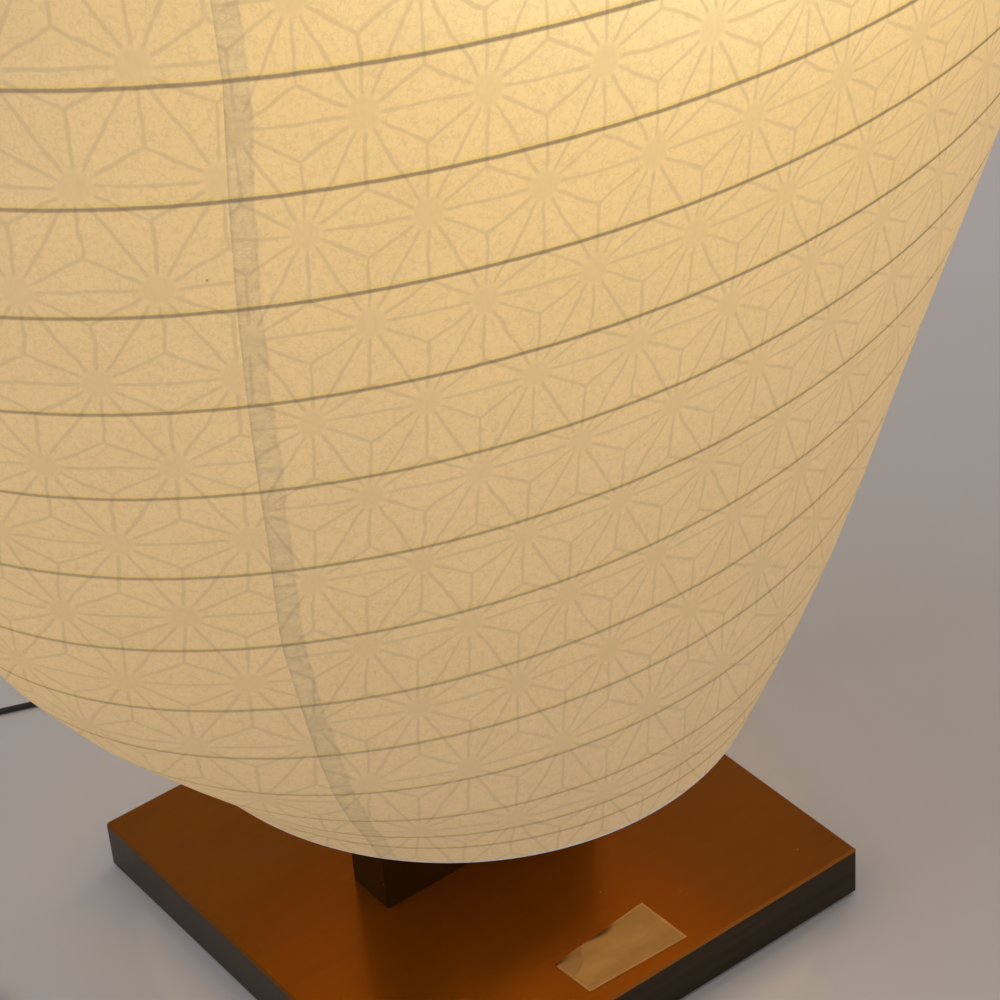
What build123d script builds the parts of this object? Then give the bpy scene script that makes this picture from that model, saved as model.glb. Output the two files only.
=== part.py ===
"""Andon floor lamp: an oval washi shade on bamboo ribs, hung over a lacquered board and slab post.

Millimetres, +Z up, the origin on the floor under the middle of the board. X runs along the slab
and along the shade's long axis, and -Y is the front.
"""
from build123d import *
import math
import os

# ---- Driving dimensions ----------------------------------------------------------------------

# base board and its felt pads
board_side = 210.0
board_thick = 21.0
board_ease = 1.0
pad_side = 16.0
pad_thick = 1.5
pad_inset = 17.0

# short slab post
slab_long = 100.0
slab_thick = 23.0
slab_top = 97.0
slab_ease = 0.8
slab_bore = 3.5

# wood screws: from under the board into the slab, and through the holder plate
post_screw_x = 32.0
post_screw_radius = 2.0
post_screw_head = 4.2
post_screw_length = 46.0
counterbore_radius = 5.0
counterbore_depth = 8.0
plate_screw_x = 28.0
plate_screw_radius = 1.75
plate_screw_head = 3.4
plate_screw_length = 20.0
head_share = 0.6
screw_tip = 0.3
screw_flats = 12
turned_flats = 24

# lead, its groove under the board and its sleeve
cord_radius = 1.3
cord_sides = 6
lead_height = 5.0
lead_bend = 13.0
groove_width = 7.0
groove_top = 8.6
pocket_margin = 4.0
sleeve_radius = 3.4
sleeve_tip = 2.0
sleeve_length = 26.0
sleeve_inside = 10.0

# holder plate, the long threaded nipple that stands in it, and the lampholder (E26)
plate_long = 96.0
plate_wide = 21.0
plate_thick = 3.0
plate_corner = 3.0
nipple_radius = 5.0
nipple_bore = 3.2
nipple_below = 24.0
nipple_above = 7.0
holder_low = 323.0
holder_radius = 20.0
holder_height = 46.0
holder_floor = 10.0
holder_foot = 16.0
shell_outer = 14.3
shell_inner = 13.3
shell_foot = 15.0
shell_mouth = 2.0
contact_radius = 8.0
contact_thick = 1.2
contact_step = 3.5

# LED bulb
cap_radius = 13.05
cap_height = 21.0
button_radius = 4.0
button_height = 2.5
insulator_height = 3.0
neck_radius = 12.7
neck_height = 9.0
housing_height = 42.0
globe_radius = 30.0
globe_height = 43.0

# harp, stud and finial
harp_x = 43.0
harp_thick = 3.0
harp_wide = 3.0
harp_shoulder = 24.0
harp_crown = 14.0
harp_bend = 18.0
stud_radius = 3.0
collar_radius = 6.0
collar_height = 8.0
running_gap = 0.05
hub_radius = 12.0
hub_gap = 0.3
finial_radius = 8.0
finial_height = 18.0

# shade: half length, half depth and height of its rim, from the mouth ring to the top ring
rim_points = [
    (109.0, 115.0, 110.0),
    (125.5, 122.0, 131.5),
    (155.5, 129.0, 166.5),
    (185.0, 137.0, 218.0),
    (211.0, 155.0, 285.0),
    (235.0, 177.0, 358.0),
    (250.0, 198.0, 436.0),
    (251.0, 208.0, 500.0),
    (237.0, 200.0, 580.0),
    (202.0, 172.0, 655.0),
    (152.0, 130.0, 712.0),
    (108.0, 92.0, 745.0),
]
# distances between ribs, measured along the rim from the mouth ring upwards
rib_gaps = [16.5, 12.5, 19.5, 27.5, 29.0, 31.0, 35.5, 39.0, 40.5, 39.5, 39.5, 39.0, 37.5]
rib_gaps += [38.0, 38.5, 38.5, 38.0, 37.0, 35.0, 32.0, 28.0, 25.0, 22.0]
oval_flats = 28
paper_thick = 0.6
rib_wide = 1.4
rib_high = 1.4
rib_seat = 0.1
ring_wide = 2.4
ring_high = 3.0
seam_angles = [-138.0, -18.0, 102.0]
arm_wide = 7.0
arm_thick = 2.0

# inline switch: where its cord enters, and its size
switch_long = 58.0
switch_wide = 21.0
switch_corner = 4.0
switch_base_high = 8.0
switch_high = 16.0
switch_ease = 1.5
switch_cord_height = 3.0
switch_start = Vector(-170.0, 208.0, 0.0)
switch_heading = -106.0
rocker_half = 7.9
rocker_wide = 10.0
rocker_reach = 9.0
rocker_gap = 0.35
rocker_drop = 3.0
rocker_low = -2.6
rocker_high = 2.2
rocker_tilt = 8.0
pin_radius = 1.2
pin_reach = 1.4

# put-away coil, its tie and the plug
coil_centre = Vector(-212.0, 118.0, 0.0)
coil_mean = 15.0
coil_wide = 13.0
coil_high = 9.4
coil_sides = 24
tie_wide = 4.0
tie_thick = 0.8
plug_back = Vector(-197.0, 90.0, 7.0)
plug_long = 30.0
plug_wide = 24.0
plug_high = 14.0
plug_corner = 2.5
plug_slope = 3.5
plug_neck = 12.0
blade_spacing = 12.7
blade_wide = 6.3
blade_thick = 1.5
blade_long = 17.0

# ---- Heights and places worked out from them ---------------------------------------------------

board_low = pad_thick
board_top = board_low + board_thick
post_seat = board_low + counterbore_depth
plate_top = slab_top + plate_thick
holder_top = holder_low + holder_height
contact_low = holder_low + holder_floor
bulb_low = contact_low + contact_step
cap_low = bulb_low + button_height + insulator_height
housing_low = cap_low + cap_height
globe_low = housing_low + housing_height
globe_top = globe_low + globe_height
shade_top = rim_points[-1][2]
hub_low = shade_top - ring_high - arm_thick
hub_top = hub_low + arm_thick
stud_low = hub_low - collar_height
harp_apex = stud_low - harp_thick / 2
sleeve_back = board_side / 2 - sleeve_inside
sleeve_end = sleeve_back + sleeve_length
on_floor = cord_radius + 0.05

os.makedirs("parts", exist_ok=True)


def save(builder, name):
    """Label a finished piece and write it to its own STEP file."""
    builder.part.label = name
    export_step(builder.part, f"parts/{name}.step")


def banded(loops, open_through=False):
    """A solid of flat facets between loops of corners, as a ruled loft through polygons makes it.

    It is closed by its first and last loops, or runs from the last loop back to the first one.
    """
    pairs = list(zip(loops, loops[1:]))
    if open_through:
        pairs.append((loops[-1], loops[0]))
        skins = []
    else:
        skins = [Face(Wire.make_polygon(loops[0])), Face(Wire.make_polygon(loops[-1]))]
    for low, high in pairs:
        for here, there in zip(range(len(low)), [*range(1, len(low)), 0]):
            skins.append(Face(Wire.make_polygon([low[here], low[there], high[there], high[here]])))
    return Solid(Shell(skins))


def turned(name, corners, planes=(Plane.XY,), sides=turned_flats):
    """One piece, or several alike, turned from a profile of (radius, height) corners, in flats.

    A profile that starts and ends on the axis is solid there, and any other is open through.
    """
    bored = corners[0][0] > 0
    turns = [2 * math.pi * count / sides for count in range(sides)]
    with BuildPart() as piece:
        for plane in planes:
            loops = []
            for radius, height in corners:
                if radius > 0:
                    spots = [(radius * math.cos(t), radius * math.sin(t), height) for t in turns]
                    loops.append([plane.from_local_coords(spot) for spot in spots])
            add(banded(loops, open_through=bored))
    save(piece, name)


# ---- Base board and pads ----------------------------------------------------------------------

with BuildPart() as board:
    with BuildSketch(Plane.XY.offset(board_low)):
        Rectangle(board_side, board_side)
    extrude(amount=board_thick)
    chamfer(board.edges().filter_by(Axis.Z), length=board_ease)
    chamfer(board.faces().sort_by(Axis.Z)[-1].edges(), length=board_ease)
    # counterbored screw holes, opening downwards, and the lead's hole between them
    with BuildSketch(Plane.XY.offset(board_low)):
        with Locations((-post_screw_x, 0), (post_screw_x, 0)):
            RegularPolygon(post_screw_radius, screw_flats)
        RegularPolygon(slab_bore, screw_flats)
    extrude(amount=board_thick, mode=Mode.SUBTRACT)
    with BuildSketch(Plane.XY.offset(board_low)):
        with Locations((-post_screw_x, 0), (post_screw_x, 0)):
            RegularPolygon(counterbore_radius, screw_flats)
    extrude(amount=counterbore_depth, mode=Mode.SUBTRACT)
    # the pocket for the lead's bend and the groove to the back edge
    with BuildSketch(Plane.XY.offset(board_low)):
        with Locations((0, lead_bend / 2)):
            Rectangle(groove_width, lead_bend + 2 * pocket_margin)
    extrude(amount=board_thick - pocket_margin, mode=Mode.SUBTRACT)
    with BuildSketch(Plane.XY.offset(board_low)):
        with Locations((0, board_side / 4)):
            Rectangle(groove_width, board_side / 2)
    extrude(amount=groove_top - board_low, mode=Mode.SUBTRACT)
save(board, "base_board")

pad_place = board_side / 2 - pad_inset
for side, x in (("left", -pad_place), ("right", pad_place)):
    for end, y in (("front", -pad_place), ("back", pad_place)):
        with BuildPart() as pad:
            with BuildSketch(Plane((x, y, 0))):
                Rectangle(pad_side, pad_side)
            extrude(amount=pad_thick)
        save(pad, f"foot_pad_{end}_{side}")

# ---- Slab post, its screws and the holder plate --------------------------------------------------

with BuildPart() as slab:
    with BuildSketch(Plane.XY.offset(board_top)):
        Rectangle(slab_long, slab_thick)
    extrude(amount=slab_top - board_top)
    chamfer(slab.edges().filter_by(Axis.Z), length=slab_ease)
    with BuildSketch(Plane.XY.offset(board_top)):
        RegularPolygon(slab_bore, screw_flats)
    extrude(amount=slab_top - board_top, mode=Mode.SUBTRACT)
    with BuildSketch(Plane.XY.offset(slab_top - nipple_below)):
        RegularPolygon(nipple_radius + running_gap, turned_flats)
    extrude(amount=nipple_below, mode=Mode.SUBTRACT)
save(slab, "post_slab")

turned(
    "post_screws",
    [
        (0, post_seat - post_screw_head * head_share),
        (post_screw_head, post_seat - post_screw_head * head_share),
        (post_screw_head, post_seat),
        (post_screw_radius, post_seat),
        (post_screw_radius, post_seat + post_screw_length - 2 * post_screw_radius),
        (screw_tip, post_seat + post_screw_length),
        (0, post_seat + post_screw_length),
    ],
    planes=(Plane((-post_screw_x, 0, 0)), Plane((post_screw_x, 0, 0))),
    sides=screw_flats,
)
turned(
    "plate_screws",
    [
        (0, plate_top + plate_screw_head * head_share),
        (plate_screw_head, plate_top + plate_screw_head * head_share),
        (plate_screw_head, plate_top),
        (plate_screw_radius, plate_top),
        (plate_screw_radius, plate_top - plate_screw_length + 2 * plate_screw_radius),
        (screw_tip, plate_top - plate_screw_length),
        (0, plate_top - plate_screw_length),
    ],
    planes=(Plane((-plate_screw_x, 0, 0)), Plane((plate_screw_x, 0, 0))),
    sides=screw_flats,
)

with BuildPart() as plate:
    with BuildSketch(Plane.XY.offset(slab_top)):
        Rectangle(plate_long, plate_wide)
        chamfer(vertices(), length=plate_corner)
        RegularPolygon(nipple_radius, turned_flats, mode=Mode.SUBTRACT)
        with Locations((-plate_screw_x, 0), (plate_screw_x, 0)):
            RegularPolygon(plate_screw_radius, screw_flats, mode=Mode.SUBTRACT)
        with Locations((-harp_x, 0), (harp_x, 0)):
            Rectangle(harp_thick, harp_wide, mode=Mode.SUBTRACT)
    extrude(amount=plate_thick)
save(plate, "holder_plate")

# ---- Nipple and lampholder ---------------------------------------------------------------------------

turned(
    "threaded_nipple",
    [
        (nipple_bore, slab_top - nipple_below),
        (nipple_radius, slab_top - nipple_below),
        (nipple_radius, holder_low + nipple_above),
        (nipple_bore, holder_low + nipple_above),
    ],
)
turned(
    "lampholder_body",
    [
        (nipple_radius, holder_low),
        (holder_foot, holder_low),
        (holder_radius, holder_low + holder_floor),
        (holder_radius, holder_top),
        (shell_outer, holder_top),
        (shell_outer, contact_low),
        (nipple_bore, contact_low),
        (nipple_bore, holder_low + nipple_above),
        (nipple_radius, holder_low + nipple_above),
    ],
)
turned(
    "lampholder_shell",
    [
        (shell_inner, holder_low + shell_foot),
        (shell_outer, holder_low + shell_foot),
        (shell_outer, holder_top - shell_mouth),
        (shell_inner, holder_top - shell_mouth),
    ],
)
turned(
    "centre_contact",
    [
        (0, contact_low),
        (contact_radius, contact_low),
        (contact_radius, contact_low + contact_thick),
        (button_radius, contact_low + contact_thick),
        (button_radius, bulb_low),
        (0, bulb_low),
    ],
)

# ---- LED bulb ----------------------------------------------------------------------------------------

turned(
    "bulb_contact",
    [
        (0, bulb_low),
        (button_radius - 1, bulb_low),
        (button_radius, bulb_low + button_height),
        (0, bulb_low + button_height),
    ],
)
turned(
    "bulb_insulator",
    [
        (0, cap_low - insulator_height),
        (button_radius + 1, cap_low - insulator_height),
        (cap_radius - 2, cap_low),
        (0, cap_low),
    ],
)
turned(
    "bulb_screw_cap",
    [
        (0, cap_low),
        (cap_radius - 2, cap_low),
        (cap_radius, cap_low + 2),
        (cap_radius, housing_low),
        (0, housing_low),
    ],
)
turned(
    "bulb_housing",
    [
        (0, housing_low),
        (neck_radius, housing_low),
        (neck_radius, housing_low + neck_height),
        (globe_radius * 0.55, globe_low - housing_height * 0.62),
        (globe_radius * 0.8, globe_low - housing_height * 0.34),
        (globe_radius * 0.95, globe_low - housing_height * 0.12),
        (globe_radius, globe_low),
        (0, globe_low),
    ],
)
turned(
    "bulb_globe",
    [
        (0, globe_low),
        (globe_radius, globe_low),
        (globe_radius, globe_low + globe_height * 0.12),
        (globe_radius * 0.95, globe_low + globe_height * 0.35),
        (globe_radius * 0.81, globe_low + globe_height * 0.59),
        (globe_radius * 0.59, globe_low + globe_height * 0.81),
        (globe_radius * 0.3, globe_low + globe_height * 0.95),
        (globe_radius * 0.1, globe_top),
        (0, globe_top),
    ],
)

# ---- Harp, stud and finial ------------------------------------------------------------------------

# a square rod, bent in one plane, from the plate to a level crown for the stud to stand on
with BuildPart() as harp:
    with BuildSketch(Plane.XZ):
        with BuildLine():
            FilletPolyline(
                (-harp_x, slab_top),
                (-harp_x, harp_apex - harp_shoulder),
                (-harp_crown, harp_apex),
                (harp_crown, harp_apex),
                (harp_x, harp_apex - harp_shoulder),
                (harp_x, slab_top),
                radius=harp_bend,
            )
        trace(line_width=harp_thick)
    extrude(amount=harp_wide / 2, both=True)
save(harp, "harp_bow")

# the stud's collar carries the shade's hub, and its shank takes the finial
shank_top = hub_top + finial_height * 0.6
turned(
    "harp_stud",
    [
        (0, stud_low),
        (collar_radius, stud_low),
        (collar_radius, hub_low),
        (stud_radius, hub_low),
        (stud_radius, shank_top),
        (0, shank_top),
    ],
)
turned(
    "finial",
    [
        (0, shank_top + 0.5),
        (stud_radius + running_gap, shank_top + 0.5),
        (stud_radius + running_gap, hub_top),
        (finial_radius * 0.8, hub_top),
        (finial_radius * 0.8, hub_top + finial_height * 0.16),
        (finial_radius * 0.5, hub_top + finial_height * 0.3),
        (finial_radius * 0.85, hub_top + finial_height * 0.46),
        (finial_radius, hub_top + finial_height * 0.64),
        (finial_radius * 0.85, hub_top + finial_height * 0.84),
        (finial_radius * 0.4, hub_top + finial_height),
        (0, hub_top + finial_height),
    ],
)

# ---- Shade -----------------------------------------------------------------------------------------

# x, y and z of a point on the rim curve are the shade's half length, half depth and height there
rim = Spline(*rim_points)
rib_rims = []
along = 0.0
for gap in rib_gaps:
    along += gap
    rib_rims.append(rim.position_at(along, position_mode=PositionMode.LENGTH))
mouth = rim @ 0
crown = rim @ 1
paper_rims = [mouth, *rib_rims, crown]
print("ribs", len(rib_rims), "last gap", round(rim.length - along, 1))


def oval(place, inset):
    """Corners of the rim's oval, drawn in by an inset, as flats that touch the true curve.

    The flats face the same ways at every height, so the facet of paper between two ribs is flat.
    """
    step = 2 * math.pi / oval_flats
    facings = [step * count for count in range(oval_flats + 1)]
    reaches = [math.hypot(place.X * math.cos(f), place.Y * math.sin(f)) - inset for f in facings]
    corners = []
    for here, there, near, far in zip(facings, facings[1:], reaches, reaches[1:]):
        x = (near * math.sin(there) - far * math.sin(here)) / math.sin(step)
        y = (far * math.cos(here) - near * math.cos(there)) / math.sin(step)
        corners.append((x, y))
    return corners


def oval_loop(place, inset, rise=0.0):
    """The oval's corners at a rib's height, or a little above or below it."""
    return [Vector(x, y, place.Z + rise) for x, y in oval(place, inset)]


# the paper runs straight from rib to rib: up its outside and down its inside
outside = [oval_loop(place, 0) for place in paper_rims]
inside = [oval_loop(place, paper_thick) for place in reversed(paper_rims)]
paper_shell = banded(outside + inside, open_through=True)

# three gores of paper, glued edge to edge along seams that run from ring to ring
reach = 2 * max(place.X for place in paper_rims)
for number, angle in enumerate(seam_angles, start=1):
    with BuildPart() as gore:
        add(paper_shell)
        with BuildSketch(Plane.XY.offset(mouth.Z)):
            with BuildLine():
                bearings = [math.radians(angle + turn) for turn in (0, 60, 120)]
                Polyline((0, 0), *[(reach * math.cos(b), reach * math.sin(b)) for b in bearings], close=True)
            make_face()
        extrude(amount=shade_top - mouth.Z, mode=Mode.INTERSECT)
    save(gore, f"paper_gore_{number}")


def hoop(place):
    """A three-sided hoop of split bamboo, its skin edge glued into the fold of the paper."""
    edge = oval_loop(place, paper_thick - rib_seat)
    low = oval_loop(place, paper_thick - rib_seat + rib_wide, -rib_high / 2)
    high = oval_loop(place, paper_thick - rib_seat + rib_wide, rib_high / 2)
    return banded([low, edge, high], open_through=True)


with BuildPart() as ribs:
    add([hoop(place) for place in rib_rims])
save(ribs, "shade_ribs")

with BuildPart() as mouth_ring:
    with BuildSketch(Plane.XY.offset(mouth.Z)):
        Polygon(*oval(mouth, paper_thick), align=None)
        Polygon(*oval(mouth, paper_thick + ring_wide), align=None, mode=Mode.SUBTRACT)
    extrude(amount=ring_high)
save(mouth_ring, "mouth_ring")

with BuildPart() as top_ring:
    with BuildSketch(Plane.XY.offset(hub_top)):
        Polygon(*oval(crown, paper_thick), align=None)
        Polygon(*oval(crown, paper_thick + ring_wide), align=None, mode=Mode.SUBTRACT)
    extrude(amount=ring_high)
    with BuildSketch(Plane.XY.offset(hub_low)):
        Rectangle(2 * crown.X - ring_wide, arm_wide)
        Rectangle(arm_wide, 2 * crown.Y - ring_wide)
        RegularPolygon(hub_radius, turned_flats)
        RegularPolygon(stud_radius + hub_gap, turned_flats, mode=Mode.SUBTRACT)
    extrude(amount=arm_thick)
save(top_ring, "top_ring")

# ---- Lead inside the lamp, and its sleeve --------------------------------------------------------------


def cord_tube(points, radii, name):
    """A plain tube of the cord's section along straight runs joined by tangent arcs."""
    with BuildPart() as tube:
        with BuildLine() as route:
            FilletPolyline(*points, radius=radii)
        with BuildSketch(Plane(origin=route.line @ 0, z_dir=route.line % 0)) as section:
            RegularPolygon(cord_radius, cord_sides)
        sweep(path=route.line)
    length = sum(edge.length for edge in route.edges())
    share = tube.part.volume / (section.sketch.area * length)
    print(name, "radii", [round(r, 1) for r in radii], "length", round(length, 1), "share", round(share, 4))
    save(tube, name)


lead_points = [
    (0, 0, contact_low),
    (0, 0, lead_height),
    (0, sleeve_back, lead_height),
]
cord_tube(lead_points, [lead_bend], "inner_lead")

turned(
    "cord_sleeve",
    [
        (0, 0),
        (sleeve_radius, 0),
        (sleeve_radius, sleeve_inside),
        (sleeve_radius * 0.85, sleeve_inside + 5),
        (sleeve_tip, sleeve_length),
        (0, sleeve_length),
    ],
    planes=(Plane((0, sleeve_back, lead_height), x_dir=(1, 0, 0), z_dir=(0, 1, 0)),),
    sides=16,
)

# ---- Cord on the floor -----------------------------------------------------------------------------------


def corner_radii(points):
    """The largest tangent arc that each corner's two runs allow, 0.45 of the shorter run."""
    radii = []
    for before, here, after in zip(points, points[1:], points[2:]):
        into = Vector(*here) - Vector(*before)
        out = Vector(*after) - Vector(*here)
        turn = math.radians(into.get_angle(out))
        radii.append(0.45 * min(into.length, out.length) / math.tan(turn / 2))
    return radii


turned_by = math.radians(switch_heading)
heading = Vector(math.cos(turned_by), math.sin(turned_by), 0)
switch_end = switch_start + heading * switch_long
to_switch = [
    (0.0, sleeve_end, lead_height),
    (0.0, sleeve_end + 9, lead_height),
    (-0.6, sleeve_end + 25, 2.2),
    (-3.5, sleeve_end + 40, on_floor),
    (-12.0, 180.0, on_floor),
    (-34.0, 198.5, on_floor),
    (-62.0, 208.3, on_floor),
    (-103.0, 225.2, on_floor),
    (-132.0, 233.0, on_floor),
    (-154.0, 229.0, on_floor),
    (switch_start.X - heading.X * 9, switch_start.Y - heading.Y * 9, switch_cord_height),
    (switch_start.X, switch_start.Y, switch_cord_height),
]
coil_entry = Vector(coil_centre.X + coil_mean, coil_centre.Y + 4, tie_thick + 4.0)
to_coil = [
    (switch_end.X, switch_end.Y, switch_cord_height),
    (switch_end.X + heading.X * 8, switch_end.Y + heading.Y * 8, switch_cord_height),
    (coil_entry.X + 1.0, coil_entry.Y + 11, 3.2),
    (coil_entry.X, coil_entry.Y, coil_entry.Z),
]
coil_exit = Vector(coil_centre.X + coil_mean, coil_centre.Y - 5, tie_thick + 6.6)
to_plug = [
    (coil_exit.X, coil_exit.Y, coil_exit.Z),
    (plug_back.X, plug_back.Y + 13, plug_back.Z),
    (plug_back.X, plug_back.Y, plug_back.Z),
]
cord_tube(to_switch, corner_radii(to_switch), "cord_to_switch")
cord_tube(to_coil, corner_radii(to_coil), "cord_to_coil")
cord_tube(to_plug, corner_radii(to_plug), "cord_to_plug")

# ---- Coil and its tie ----------------------------------------------------------------------------------

coil_plane = Plane((coil_centre.X, coil_centre.Y, tie_thick))
with BuildPart() as coil:
    with BuildSketch(coil_plane):
        RegularPolygon(coil_mean + coil_wide / 2, coil_sides)
        RegularPolygon(coil_mean - coil_wide / 2, coil_sides, mode=Mode.SUBTRACT)
    extrude(amount=coil_high)
save(coil, "cord_coil")

with BuildPart() as tie:
    with BuildSketch(Plane.XZ.offset(-coil_centre.Y)):
        with Locations((coil_centre.X + coil_mean, tie_thick + coil_high / 2)):
            Rectangle(coil_wide + 2 * tie_thick, coil_high + 2 * tie_thick)
            Rectangle(coil_wide, coil_high, mode=Mode.SUBTRACT)
    extrude(amount=tie_wide / 2, both=True)
save(tie, "cord_tie")

# ---- Inline switch -----------------------------------------------------------------------------------------

switch_middle = switch_start + heading * (switch_long / 2)
switch_plane = Plane(origin=switch_middle, x_dir=heading, z_dir=(0, 0, 1))
rocker_middle = switch_middle + Vector(0, 0, switch_high - rocker_drop)
across = heading.rotate(Axis.Z, -90)
tipped = heading.rotate(Axis((0, 0, 0), across), rocker_tilt)
rocker_plane = Plane(origin=rocker_middle, x_dir=heading, z_dir=across)
with BuildPart() as switch_base:
    with BuildSketch(switch_plane):
        Rectangle(switch_long, switch_wide)
        chamfer(vertices(), length=switch_corner)
    extrude(amount=switch_base_high)
    chamfer(switch_base.faces().sort_by(Axis.Z)[0].edges(), length=switch_ease / 2)
save(switch_base, "switch_base")

with BuildPart() as switch_cover:
    with BuildSketch(switch_plane.offset(switch_base_high)):
        Rectangle(switch_long, switch_wide)
        chamfer(vertices(), length=switch_corner)
    extrude(amount=switch_high - switch_base_high)
    chamfer(switch_cover.faces().sort_by(Axis.Z)[-1].edges(), length=switch_ease)
    with BuildSketch(switch_plane.offset(switch_base_high)):
        Rectangle(2 * rocker_reach, rocker_wide + 2 * rocker_gap)
    extrude(amount=switch_high - switch_base_high, mode=Mode.SUBTRACT)
    with BuildSketch(rocker_plane):
        RegularPolygon(pin_radius + running_gap, screw_flats)
    extrude(amount=rocker_wide / 2 + pin_reach + 2 * rocker_gap, both=True, mode=Mode.SUBTRACT)
save(switch_cover, "switch_cover")

# the rocker's two wings rise from its middle; it rests tipped to one side, on pins moulded with it
wing_rise = rocker_half * math.tan(math.radians(rocker_tilt))
with BuildPart() as rocker:
    with BuildSketch(Plane(origin=rocker_middle, x_dir=tipped, z_dir=across)):
        with BuildLine():
            Polyline(
                (-rocker_half, rocker_low),
                (rocker_half, rocker_low),
                (rocker_half, rocker_high + wing_rise),
                (0, rocker_high),
                (-rocker_half, rocker_high + wing_rise),
                close=True,
            )
        make_face()
    extrude(amount=rocker_wide / 2, both=True)
    with BuildSketch(rocker_plane):
        RegularPolygon(pin_radius, screw_flats)
    extrude(amount=rocker_wide / 2 + pin_reach, both=True)
save(rocker, "switch_rocker")

# ---- Plug ---------------------------------------------------------------------------------------

plug_plane = Plane(origin=plug_back, x_dir=(1, 0, 0), z_dir=(0, -1, 0))
with BuildPart() as plug:
    with BuildSketch(plug_plane):
        Rectangle(plug_wide, plug_high)
        chamfer(vertices(), length=plug_corner)
    extrude(amount=plug_long)
    back_face = plug.faces().sort_by(Axis.Y)[-1]
    chamfer(back_face.edges(), length=plug_slope, length2=plug_neck, reference=back_face)
save(plug, "plug_body")

with BuildPart() as blades:
    with BuildSketch(plug_plane.offset(plug_long)):
        with Locations((-blade_spacing / 2, 0), (blade_spacing / 2, 0)):
            Rectangle(blade_thick, blade_wide)
    extrude(amount=blade_long)
save(blades, "plug_blades")
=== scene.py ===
"""Looks of the andon floor lamp: lit washi shade, lacquered board and slab, bulb, harp and cord.

Metres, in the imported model's frame: +Z up, the floor at z = 0, -Y the front.
"""
import math

import bmesh
import bpy
from mathutils import Matrix, Vector, noise


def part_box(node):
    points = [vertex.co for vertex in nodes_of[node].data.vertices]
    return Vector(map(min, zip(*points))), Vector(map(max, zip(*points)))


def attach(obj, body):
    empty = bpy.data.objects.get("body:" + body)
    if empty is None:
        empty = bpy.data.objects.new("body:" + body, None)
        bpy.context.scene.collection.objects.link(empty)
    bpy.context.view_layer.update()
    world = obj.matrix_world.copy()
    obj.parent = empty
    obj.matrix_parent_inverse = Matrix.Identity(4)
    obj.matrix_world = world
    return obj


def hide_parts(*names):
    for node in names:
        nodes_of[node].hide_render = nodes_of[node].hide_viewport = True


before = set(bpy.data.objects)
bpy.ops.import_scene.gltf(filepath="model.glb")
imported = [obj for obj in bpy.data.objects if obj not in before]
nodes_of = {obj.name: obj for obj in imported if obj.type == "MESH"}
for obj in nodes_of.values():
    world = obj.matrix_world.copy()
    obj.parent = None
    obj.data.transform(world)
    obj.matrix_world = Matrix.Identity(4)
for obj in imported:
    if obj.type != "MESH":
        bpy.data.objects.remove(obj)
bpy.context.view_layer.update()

scene = bpy.context.scene

# ---- Camera ----

camera_place = Vector((-0.499306, -0.748120, 0.817498))
camera_right = Vector((0.788926, -0.610839, -0.066871))
camera_up = Vector((0.397545, 0.424384, 0.813545))
camera_forward = Vector((0.468566, 0.668411, -0.577644))
sensor_mm = 36.0
lens_mm = 110.03

camera_data = bpy.data.cameras.new("camera")
camera_data.sensor_width = sensor_mm
camera_data.lens = lens_mm
camera = bpy.data.objects.new("camera", camera_data)
scene.collection.objects.link(camera)
camera_turn = Matrix((camera_right, camera_up, -camera_forward)).transposed()
camera.matrix_world = Matrix.Translation(camera_place) @ camera_turn.to_4x4()
scene.camera = camera

# ---- Materials ----


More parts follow.
